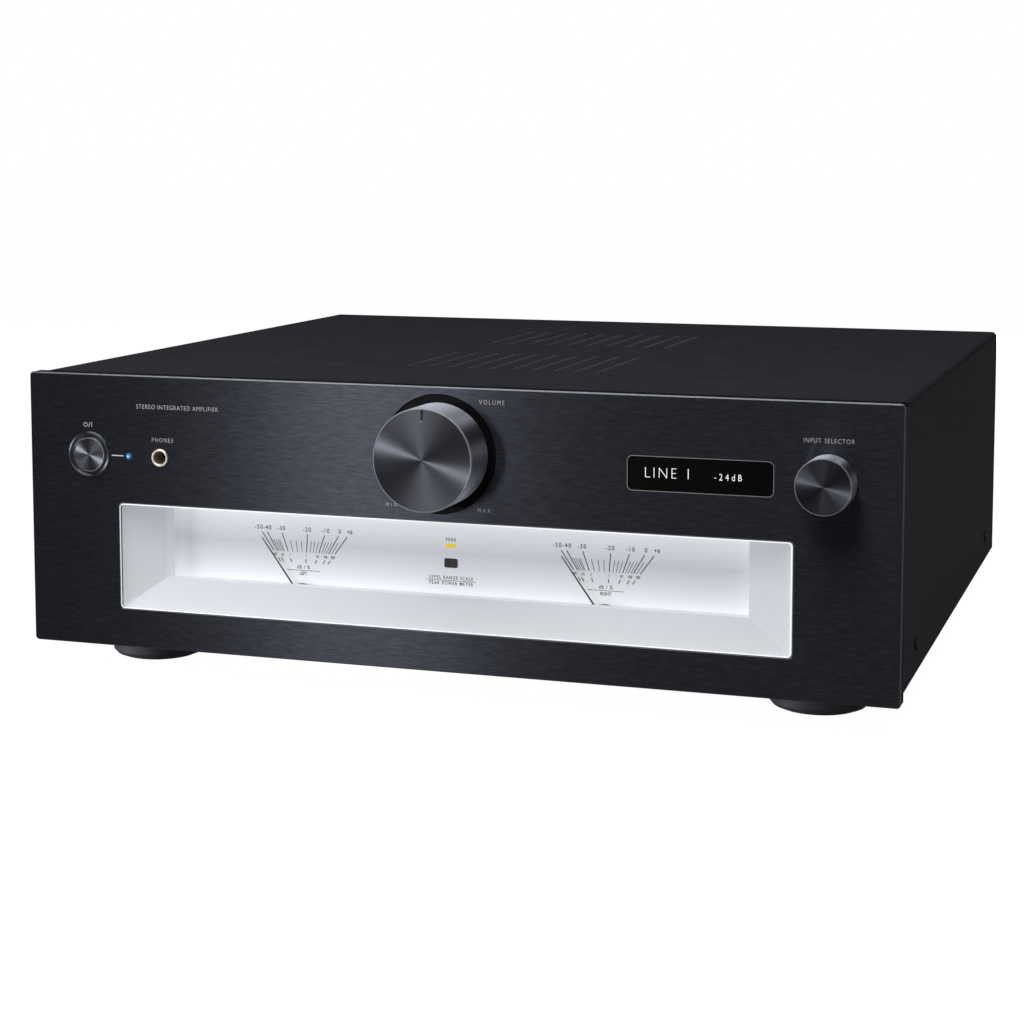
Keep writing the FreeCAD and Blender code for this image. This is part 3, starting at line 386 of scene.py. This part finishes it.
class Piece:
    """Gathers closed shapes into one mesh."""

    def __init__(self):
        self.mesh = bmesh.new()

    def lathe(self, profile, centre, way, segments=96):
        """Turns a profile of (radius, distance along way) in millimetres about an axis."""
        place = frame_about(centre, way, UP if abs(way.z) < 0.5 else Vector((0, 1, 0)))
        rings = []
        for radius, along in profile:
            steps = segments if radius > 0 else 1
            ring = []
            for step in range(steps):
                angle = math.tau * step / segments
                spot = Vector((radius * math.cos(angle), radius * math.sin(angle), along)) * MM
                ring.append(self.mesh.verts.new(place @ spot))
            rings.append(ring)
        for near, far in zip(rings, rings[1:]):
            for step in range(segments):
                corners = []
                for ring, index in ((near, step), (near, step + 1), (far, step + 1), (far, step)):
                    corner = ring[index % len(ring)]
                    if corner not in corners:
                        corners.append(corner)
                if len(corners) > 2:
                    self.mesh.faces.new(corners)
        return self

    def slab(self, outline, thickness, place):
        """Extrudes an outline in a local XY plane by thickness along local Z, all in millimetres."""
        lower = [self.mesh.verts.new(place @ (Vector((x, y, 0)) * MM)) for x, y in outline]
        upper = [self.mesh.verts.new(place @ (Vector((x, y, thickness)) * MM)) for x, y in outline]
        self.mesh.faces.new(lower[::-1])
        self.mesh.faces.new(upper)
        for index in range(len(outline)):
            after = (index + 1) % len(outline)
            self.mesh.faces.new((lower[index], lower[after], upper[after], upper[index]))
        return self

    def stroke(self, start, end, width, thickness, place):
        """A straight printed line between two points of the local plane."""
        way = Vector(end) - Vector(start)
        side = Vector((-way.y, way.x)).normalized() * width / 2
        corners = [Vector(start) - side, Vector(end) - side, Vector(end) + side, Vector(start) + side]
        return self.slab([tuple(corner) for corner in corners], thickness, place)

    def text(self, words, height, place, span=None, align="CENTER", weight=0.0, narrow=0.82):
        """Plain letters whose capitals are height millimetres, spaced out to span, at the local origin."""
        curve = bpy.data.curves.new("words", "FONT")
        curve.body = words
        curve.align_x = align
        curve.align_y = "CENTER"
        curve.size = height * MM / CAPITAL_SHARE
        curve.extrude = INK * MM / 2
        curve.offset = weight * MM
        curve.resolution_u = 3
        holder = bpy.data.objects.new("words", curve)
        bpy.context.scene.collection.objects.link(holder)
        if span and len(words) > 1:
            CLOSE, WIDE = 1.0, 1.5
            widths = []
            for spacing in (CLOSE, WIDE):
                curve.space_character = spacing
                bpy.context.view_layer.update()
                widths.append(holder.dimensions.x / MM)
            growth = (widths[1] - widths[0]) / (WIDE - CLOSE)
            curve.space_character = CLOSE + (span / narrow - widths[0]) / growth
        bpy.context.view_layer.update()
        letters = bpy.data.meshes.new_from_object(holder)
        lift = Matrix.Translation((0, 0, INK * MM / 2))
        letters.transform(place @ lift @ Matrix.Diagonal((narrow, 1, 1, 1)))
        self.mesh.from_mesh(letters)
        bpy.data.objects.remove(holder)
        bpy.data.curves.remove(curve)
        bpy.data.meshes.remove(letters)
        return self

    def band(self, outer, inner, thickness, place):
        """Extrudes the strip between two outlines with the same number of points."""
        loops = []
        for outline, along in ((outer, 0), (outer, thickness), (inner, thickness), (inner, 0)):
            loops.append([self.mesh.verts.new(place @ (Vector((x, y, along)) * MM)) for x, y in outline])
        for near, far in zip(loops, loops[1:] + loops[:1]):
            for index in range(len(outer)):
                after = (index + 1) % len(outer)
                self.mesh.faces.new((near[index], near[after], far[after], far[index]))
        return self

    def done(self, name, slot, body="root"):
        """Turns the gathered shapes into a piece that rides on body."""
        bmesh.ops.recalc_face_normals(self.mesh, faces=self.mesh.faces)
        data = bpy.data.meshes.new(name)
        self.mesh.to_mesh(data)
        self.mesh.free()
        data.polygons.foreach_set("use_smooth", [True] * len(data.polygons))
        data.set_sharp_from_angle(angle=SHARP_ANGLE)
        piece = bpy.data.objects.new(name, data)
        bpy.context.scene.collection.objects.link(piece)
        data.materials.append(finishes[slot].material)
        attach(piece, body)


def panel_plane(across, height, depth=0.0):
    """Local plane on the front: X to the right, Y up, Z towards the viewer."""
    return frame_about(on_panel(across, height, depth), FRONT_WAY)


def dial_plane(across, height):
    """Local plane on the face of the dials."""
    return panel_plane(across, height, DIAL_DEPTH)


def dial_marks(side_name, side):
    """Scale ticks, numbers and captions printed on one meter's dial."""
    NEEDLE_ACROSS, NEEDLE_AXIS = 76.1, 26.5
    # Heights above the needle's axis: foot and head of the long ticks, head of the short ones, lower ticks
    FOOT, HEAD, SHORT_HEAD = 22.8, 31.8, 28.4
    LOWER_TICK = (17.7, 19.5)
    LONG_WIDTH, SHORT_WIDTH = 0.45, 0.28
    NUMBERS_UP, LOWER_NUMBERS_UP, UNIT_UP, RULE_UP, SIDE_UP = 60.5, 47.6, 42.0, 40.45, 38.9
    # Angle of each numbered tick, and how far its number stands to the side
    majors = {
        "-50": (-34.2, -1.9), "-40": (-30.7, 0.0), "-30": (-19.2, -0.5), "-20": (4.2, -0.3),
        "-10": (19.6, 0.4), "0": (30.2, 0.7), "+6": (36.0, 1.3),
    }
    minors = [-28.9, -27, -25, -23.6, -13.6, -7.5, -1.8, 8.7, 12.4, 16, 22.7, 25.2, 27.9, 32.9]
    lower = {".001": -14.9, ".01": -10.9, ".1": -7.1, "1": 1.6, "10": 7.4, "100": 11.6, "200": 15.4}
    across = side * NEEDLE_ACROSS
    marks = Piece()
    plane = dial_plane(across, NEEDLE_AXIS)
    for words, (angle, shift) in majors.items():
        lean = math.tan(math.radians(angle))
        for near, far in ((FOOT, HEAD), LOWER_TICK):
            marks.stroke((lean * near, near), (lean * far, far), LONG_WIDTH, INK, plane)
        number = dial_plane(across + lean * HEAD + shift, NUMBERS_UP)
        marks.text(words, 2.1, number, 1.4 * len(words), weight=0.04, narrow=0.9)
    for angle in minors:
        lean = math.tan(math.radians(angle))
        marks.stroke((lean * FOOT, FOOT), (lean * SHORT_HEAD, SHORT_HEAD), SHORT_WIDTH, INK, plane)
    for words, shift in lower.items():
        marks.text(words, 1.35, dial_plane(across + shift, LOWER_NUMBERS_UP), weight=0.04, narrow=0.75)
    marks.text("dB / %", 1.7, dial_plane(across, UNIT_UP), 6.6, weight=0.04)
    marks.stroke((-8.7, 0), (8.7, 0), HAIRLINE, INK, dial_plane(across, RULE_UP))
    marks.text(side_name.upper(), 1.6, dial_plane(across, SIDE_UP), weight=0.04)
    marks.done(f"{side_name}_dial_marks", "print_dark")


def centre_marks():
    """Captions printed between the two dials."""
    marks = Piece()
    for words, height, span in (
        ("PEAK", 59.9, 5.2), ("LEVEL RANGE SCALE", 41.6, 22), ("PEAK POWER METER", 38.9, 22),
    ):
        marks.text(words, 1.6, dial_plane(0, height), span, weight=0.03)
    marks.stroke((-12.4, 0), (12.4, 0), HAIRLINE, INK, dial_plane(0, 40.3))
    marks.done("centre_dial_marks", "print_dark")


def panel_labels():
    """Control names printed on the front panel."""
    labels = Piece()
    # Words, height of the capitals, place across and up, and width of the whole word
    for words, height, across, up, span in (
        ("STEREO INTEGRATED AMPLIFIER", 2.2, -134.6, 119.2, 43.6),
        ("PHONES", 2.1, -142.6, 103.2, 11.3),
        ("VOLUME", 2.2, 26.1, 128.0, 12.3),
        ("MIN", 1.9, -23.6, 78.0, 5.4),
        ("MAX", 1.9, 22.3, 77.6, 6.1),
        ("INPUT SELECTOR", 2.1, 181.8, 117.0, 22.4),
    ):
        labels.text(words, height, panel_plane(across, up), span, weight=-0.05)
    lamp_line_start, lamp_line_end, lamp_line_up = -170.3, -163.9, 94.75
    labels.stroke((lamp_line_start, 0), (lamp_line_end, 0), 0.5, INK, panel_plane(0, lamp_line_up))
    power_sign(labels, panel_plane(-183, 109.4))
    labels.done("panel_labels", "print_white")


def power_sign(labels, place):
    """The usual standby sign: a ring with a stroke in its gap, a slash and a bar."""
    RING, RING_ACROSS, GAP, STEPS = 1.05, -1.4, math.radians(32), 24
    SLASH = ((0.2, -1.2), (1.2, 1.3))
    BAR = ((2.0, -1.1), (2.0, 1.3))
    ring_stroke = ((RING_ACROSS, 0.2), (RING_ACROSS, 1.35))
    points = []
    for step in range(STEPS + 1):
        angle = math.pi / 2 + GAP + step * (math.tau - 2 * GAP) / STEPS
        points.append((RING_ACROSS + RING * math.cos(angle), RING * math.sin(angle)))
    for start, end in list(zip(points, points[1:])) + [ring_stroke, SLASH, BAR]:
        labels.stroke(start, end, HAIRLINE, INK, place)


def readout():
    """Characters shown on the display window, and the thin line round it."""
    INPUT_START, LEVEL_ACROSS = 98.3, 137
    CLEARANCE, HALF_HEIGHT, LINE, CORNER = 0.15, 7.75, 0.3, 2.3
    low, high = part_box("display_window")
    characters = Piece()
    face = (low.y - PANEL_LOW.y) / MM - INK
    centre = (low.z + high.z) / 2 / MM - PANEL_LOW.z / MM
    input_place = panel_plane(INPUT_START, centre + 0.3, face)
    characters.text("LINE 1", 5, input_place, 20, align="LEFT", weight=-0.2, narrow=0.9)
    characters.text("-24dB", 3, panel_plane(LEVEL_ACROSS, centre - 0.2, face), 12.4, weight=-0.06)
    characters.done("display_readout", "readout_white")
    left, right = low.x / MM - CLEARANCE, high.x / MM + CLEARANCE
    bottom, top = centre - HALF_HEIGHT, centre + HALF_HEIGHT
    outline = Piece()
    outer = rounded((left - LINE, bottom - LINE), (right + LINE, top + LINE), CORNER + LINE)
    inner = rounded((left, bottom), (right, top), CORNER)
    outline.band(outer, inner, 0.06, panel_plane(0, 0))
    outline.done("display_outline", "cut_edge")


def window_rim():
    """Glowing band round the meter bezel's edge: a painted highlight, drawn as the bright line round the
    window.
    """
    # The painted highlight is thinner on the left side and wider on the right side, as the bezel's slope
    # shows the bright line
    WIDTH, LEFT_WIDTH, RIGHT_WIDTH = 0.45, 0.1, 0.7
    SINK, PROUD, REACH = 0.6, 0.1, 0.25
    OUTER_CORNER, INNER_CORNER = 2.0, 1.6
    low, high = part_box("meter_window")
    left, right = low.x / MM - REACH, high.x / MM + REACH
    bottom = (low.z - PANEL_LOW.z) / MM - REACH
    top = (high.z - PANEL_LOW.z) / MM + REACH
    rim = Piece()
    outer = rounded((left, bottom), (right, top), OUTER_CORNER)
    inner_low = (left + LEFT_WIDTH, bottom + WIDTH)
    inner_high = (right - RIGHT_WIDTH, top - WIDTH)
    inner = rounded(inner_low, inner_high, INNER_CORNER)
    rim.band(outer, inner, SINK + PROUD, panel_plane(0, 0, SINK))
    rim.done("window_rim", "lit_edge")


def knob_trim(knob, body, width):
    """Bright diamond-cut edge round a knob's face."""
    low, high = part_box(knob)
    radius = (high.x - low.x) / 2 / MM
    edge = Piece()
    profile = [(radius - width - 0.1, 0.03), (radius - width, 0.07), (radius - 0.1, -0.35),
               (radius + 0.03, -0.6), (radius - 0.3, -0.6), (radius - width - 0.1, -0.1)]
    edge.lathe(profile + profile[:1], front_centre(knob), FRONT_WAY, 160)
    edge.done(f"{knob}_edge", "cut_edge", body)


def volume_pointer():
    """Pin at the inner end of the volume knob's index slot."""
    FROM_AXIS = 17.9
    profile = [(0, -1.3), (0.42, -1.3), (0.42, -0.04), (0.3, 0.02), (0, 0.04)]
    pin = Piece()
    pin.lathe(profile, front_centre("volume_knob") + UP * FROM_AXIS * MM, FRONT_WAY, 32)
    pin.done("volume_pointer_pin", "cut_edge", "volume")


def lamp_glint():
    """Bright core of the power lamp."""
    profile = [(0, -0.2), (0.55, -0.2), (0.5, 0.1), (0.3, 0.2), (0, 0.24)]
    core = Piece()
    core.lathe(profile, front_centre("power_lamp"), FRONT_WAY, 24)
    core.done("power_lamp_core", "lamp_glint")


# ---------------------------------------------------------------- top and rear


# Places of the line sockets' four columns across the rear
JACK_COLUMNS = (60, 78, 96, 114)


def vent_screens():
    """Fine woven wire that fills each cooling slot just under the cover's surface."""
    SLOTS, PITCH, WIDTH, LENGTH, SINK = 10, 11.2, 3.9, 83.8, 0.55
    WIRE, WIRE_DEPTH, MESH = 0.6, 0.2, 1.5
    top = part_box("top_cover")[1].z
    for name, start in (("front_vent_screen", 87.1), ("rear_vent_screen", 220.1)):
        screen = Piece()
        for slot in range(SLOTS):
            across = (slot - (SLOTS - 1) / 2) * PITCH
            corner = Vector((across * MM, PANEL_LOW.y + start * MM, top - SINK * MM))
            lower = Matrix.Translation(corner)
            for x in (-MESH, 0, MESH):
                screen.stroke((x, 0), (x, LENGTH), WIRE, WIRE_DEPTH, lower)
            upper = Matrix.Translation(corner + UP * WIRE_DEPTH * MM)
            for step in range(1, int(LENGTH / MESH)):
                y = step * MESH
                screen.stroke((-WIDTH / 2, y), (WIDTH / 2, y), WIRE, WIRE_DEPTH, upper)
        screen.done(name, "screen_wire")


def input_jacks():
    """Metal shells and coloured collars of the eight line sockets."""
    tip = (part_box("line_input_jacks")[1].y - REAR_FACE) / MM
    # Profiles of (radius, distance out from the rear panel)
    collar = [(4.2, 1.6), (5.6, 1.6), (5.6, 2.5), (5.3, 2.8), (4.2, 2.8), (4.2, 1.6)]
    shell = [(2.9, tip - 0.6), (2.9, tip + 0.1), (3.9, tip + 0.1), (4.25, tip - 0.4), (4.25, 2.8),
             (4.16, 2.8), (4.16, tip - 0.6), (2.9, tip - 0.6)]
    for row, height, slot in (("lower", 70, "jack_red"), ("upper", 90, "jack_white")):
        collars = Piece()
        shells = Piece()
        for across in JACK_COLUMNS:
            centre = on_rear(across, height)
            collars.lathe(collar, centre, REAR_WAY)
            shells.lathe(shell, centre, REAR_WAY)
        collars.done(f"{row}_jack_collars", slot)
        shells.done(f"{row}_jack_shells", "jack_shell")


def rear_plane(across, height, proud=0.0):
    """Local plane on the rear: X to the viewer's right, Y up, Z outwards."""
    return frame_about(on_rear(across, height, proud), REAR_WAY)


def rear_labels():
    """Socket names printed on the rear panel."""
    labels = Piece()
    # Words, height of the capitals, and place across and up
    for words, height, across, up in (
        ("SPEAKERS", 3.0, -70, 62), ("R", 2.6, -100, 57.5), ("L", 2.6, -40, 57.5),
        ("AC IN", 3.0, -180, 59), ("LINE IN", 3.0, 87, 106), ("DIGITAL IN", 3.0, 159, 106),
        ("L", 2.4, 48, 90), ("R", 2.4, 48, 70),
    ):
        labels.text(words, height, rear_plane(across, up))
    for number, across in enumerate(JACK_COLUMNS, 1):
        labels.text(str(number), 2.4, rear_plane(across, 100.8))
    labels.done("rear_labels", "print_white")


# ---------------------------------------------------------------- stage, lights and camera


# Glow of the room and of the floor: for the object, and for the camera
ROOM_GLOW = (0.03, 1.0)
FLOOR_GLOW = (0.05, 0.985)
FLOOR_RADIUS = 9


def seen_level(tree, glow):
    """A glow that is dim for the object and full for the camera, which leaves black metal black."""
    seen = tree.nodes.new("ShaderNodeLightPath")
    level = tree.nodes.new("ShaderNodeMapRange")
    level.inputs["To Min"].default_value, level.inputs["To Max"].default_value = glow
    tree.links.new(seen.outputs["Is Camera Ray"], level.inputs["Value"])
    return level.outputs["Result"]


def stage():
    """Pale floor."""
    floor = bmesh.new()
    bmesh.ops.create_circle(floor, cap_ends=True, radius=FLOOR_RADIUS, segments=96)
    data = bpy.data.meshes.new("floor")
    floor.to_mesh(data)
    floor.free()
    piece = bpy.data.objects.new("floor", data)
    bpy.context.scene.collection.objects.link(piece)
    paint = Finish("floor_paint", Roughness=0.9)
    broad = paint.noise((3, 3, 3))
    paint.colour(broad, grey(0.13), grey(0.14))
    paint.shader.inputs["Specular IOR Level"].default_value = 0
    paint.shader.inputs["Emission Color"].default_value = (1, 1, 1, 1)
    paint.feed(seen_level(paint.tree, FLOOR_GLOW), paint.shader.inputs["Emission Strength"])
    data.materials.append(paint.material)


def softbox(name, place, target, width, height, strength):
    """A rectangular area light that faces target; strength is its radiance."""
    light = bpy.data.lights.new(name, "AREA")
    light.shape = "RECTANGLE"
    light.size, light.size_y = width, height
    light.energy = strength * width * height * math.pi
    holder = bpy.data.objects.new(name, light)
    bpy.context.scene.collection.objects.link(holder)
    holder.location = place
    way = Vector(target) - Vector(place)
    holder.rotation_euler = way.to_track_quat("-Z", "Y").to_euler()


def lighting():
    """Soft boxes round the object and the room's glow; the rear one stays below the top cover's plane."""
    softbox("overhead", (-0.3, -0.6, 1.3), (-0.05, -0.05, 0.1), 1.3, 0.8, 4.2)
    softbox("front_left", (-0.6, -1.6, 0.1), (-0.1, -0.2, 0.08), 0.2, 0.5, 10.5)
    softbox("left_side", (-1.36, -0.86, 0.14), (0, -0.2, 0.1), 0.66, 0.1, 80.0)
    softbox("right_side", (1.5, -0.5, 0.3), (0, -0.2, 0.1), 0.1, 0.5, 5.0)
    softbox("right_high", (0.7, -0.5, 1.3), (0, -0.2, 0.1), 0.4, 0.4, 5.0)
    softbox("rear", (0, 1.9, 0.08), (0, 0.19, 0.08), 0.4, 0.12, 120.0)
    world = bpy.data.worlds.new("studio")
    bpy.context.scene.world = world
    world.use_nodes = True
    background = world.node_tree.nodes["Background"]
    background.inputs["Color"].default_value = (1, 1, 1, 1)
    world.node_tree.links.new(seen_level(world.node_tree, ROOM_GLOW), background.inputs["Strength"])
    bpy.context.scene.view_settings.view_transform = "Standard"


def camera():
    """The photograph's view, fitted to the panel's and the cover's corners: front, right and above."""
    TILT_DOWN, TURN = 0.099166, 0.32114
    lens = bpy.data.cameras.new("camera")
    lens.lens = 76.287
    lens.shift_y = -0.15
    lens.dof.use_dof = False
    holder = bpy.data.objects.new("camera", lens)
    bpy.context.scene.collection.objects.link(holder)
    holder.location = (0.34701, -1.12727, 0.26035)
    holder.rotation_euler = (math.pi / 2 - TILT_DOWN, 0, TURN)
    bpy.context.scene.camera = holder


camera()
lighting()
stage()
brushed_panel()
black_finishes()
metal_finishes()
coloured_finishes()
white_bezel()
lit_dial()
lit_pieces()
paint_nodes()
for side_name, side in (("left", -1), ("right", 1)):
    dial_marks(side_name, side)
centre_marks()
panel_labels()
readout()
window_rim()
for knob, body, width in (
    ("volume_knob", "volume", 0.5), ("selector_knob", "selector", 0.35), ("power_button", "power", 0.3),
):
    knob_trim(knob, body, width)
volume_pointer()
lamp_glint()
vent_screens()
input_jacks()
rear_labels()
